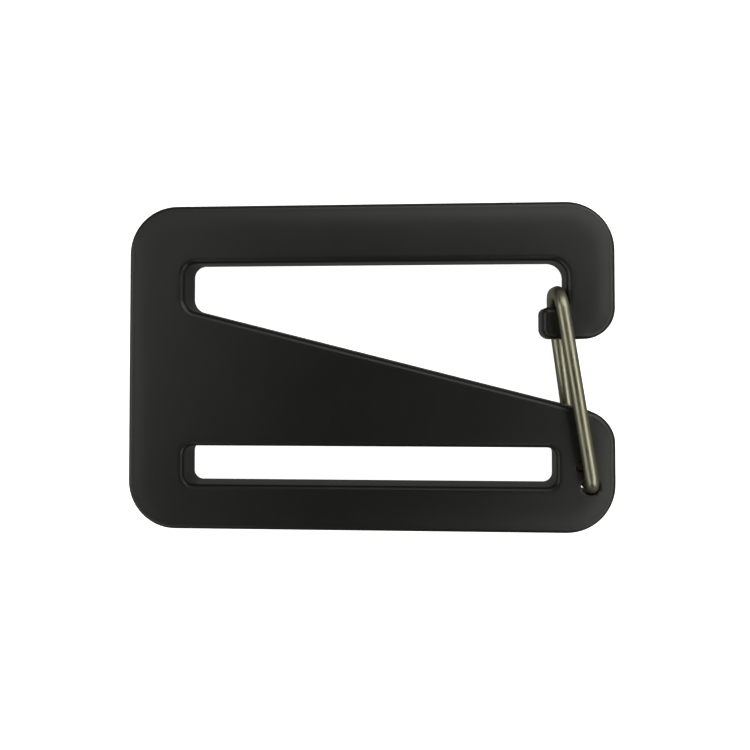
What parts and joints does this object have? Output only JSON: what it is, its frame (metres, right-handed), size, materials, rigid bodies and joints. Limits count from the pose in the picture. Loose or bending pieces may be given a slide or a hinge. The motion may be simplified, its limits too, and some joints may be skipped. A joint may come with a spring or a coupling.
{
  "type": "hook buckle",
  "caption": "Flat hook buckle for webbing: a rounded plate with a webbing slot and a tapering hook opening, closed by a sprung wire gate.",
  "frame": {"origin": "centre of the plate's outline, halfway through its thickness", "axes": "+X along the webbing slot towards the hook's mouth, +Y across the plate towards the hook's bar, +Z out of the front face"},
  "size_m": [0.0525, 0.0352, 0.007],
  "materials": {
    "black_anodised_aluminium": "satin black anodised",
    "spring_wire": "drawn wire, dull nickel"
  },
  "bodies": {
    "plate": {"plate": "black_anodised_aluminium"},
    "gate_front": {"gate_wire_front_half": "spring_wire"},
    "gate_back": {"gate_wire_back_half": "spring_wire"}
  },
  "joints": [
    {"name": "gate_swing", "type": "hinge", "parent": "plate", "child": "gate_front", "pos_m": [0.02355, -0.0125, 0], "axis": [0, 0, 1], "range_deg": [0, 42], "stiffness_Nm_per_rad": 0.05, "springref_deg": -14.32},
    {"name": "gate_twist", "type": "hinge", "parent": "gate_front", "child": "gate_back", "pos_m": [0.0203, 0.0079, 0], "axis": [0, 0, 1], "range_deg": [0, 5.1]}
  ],
  "couplings": [
    {"joint": "gate_twist", "follows": "gate_swing", "ratio": 0.118}
  ]
}
